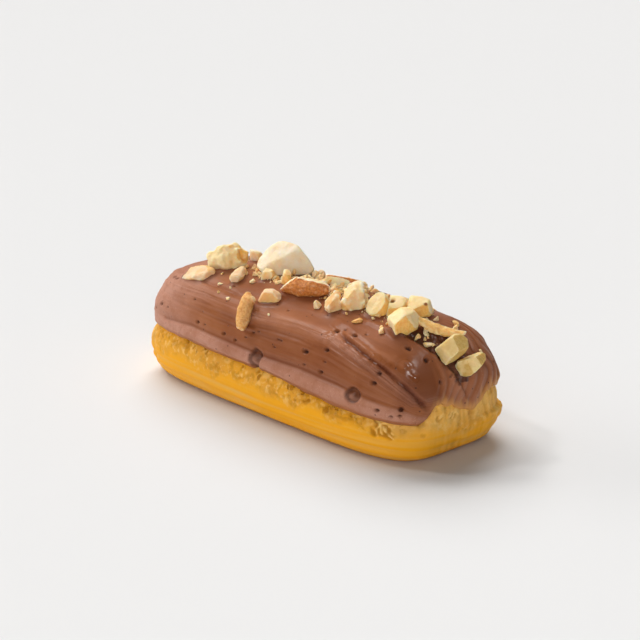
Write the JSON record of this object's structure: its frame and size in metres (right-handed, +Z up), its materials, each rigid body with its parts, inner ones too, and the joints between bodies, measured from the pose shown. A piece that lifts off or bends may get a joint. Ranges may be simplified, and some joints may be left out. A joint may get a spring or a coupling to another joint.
{
  "type": "chocolate eclair",
  "caption": "Chocolate eclair: a piped choux shell under a thick spread of milk chocolate icing, with chopped nuts along the top.",
  "frame": {"origin": "on the surface that the eclair rests on, below the middle of the choux shell", "axes": "+X runs along the eclair towards its combed nose, +Z is up, and +Y points away from the side that the picture shows"},
  "size_m": [0.1188, 0.0503, 0.0436],
  "materials": {
    "choux": "baked choux pastry, golden yellow, grooved by the piping nozzle below and rough under the icing",
    "icing": "milk chocolate icing spread with a spatula, half gloss, with small air holes",
    "pale_nut": "cut face of a pale blanched nut, cream to pale yellow",
    "golden_nut": "toasted outer face of a blanched nut, golden",
    "skinned_almond": "wrinkled brown almond skin, with pale flesh where it is cut"
  },
  "bodies": {
    "root": {"choux_shell": "choux", "chocolate_icing": "icing", "nut_slice_left": "pale_nut", "nut_clump": "golden_nut", "nut_pale_back": "pale_nut", "nut_wedge": "pale_nut", "nut_chip_oval": "pale_nut", "nut_cube_left": "pale_nut", "nut_chip_pink": "pale_nut", "nut_wedge_small": "pale_nut", "nut_sliver_rice": "golden_nut", "almond_skinned": "skinned_almond", "almond_slab": "skinned_almond", "nut_chip_back": "pale_nut", "nut_chunk_mid": "pale_nut", "nut_chunk_brown": "golden_nut", "nut_drum": "pale_nut", "nut_holed": "pale_nut", "nut_cube_back": "pale_nut", "nut_cube_front": "pale_nut", "nut_flake": "golden_nut", "nut_cube_nose": "pale_nut", "nut_slab_nose": "pale_nut", "nut_far_cube": "pale_nut", "nut_far_sliver": "pale_nut", "almond_far": "skinned_almond", "nut_far_slice": "pale_nut"}
  },
  "joints": []
}
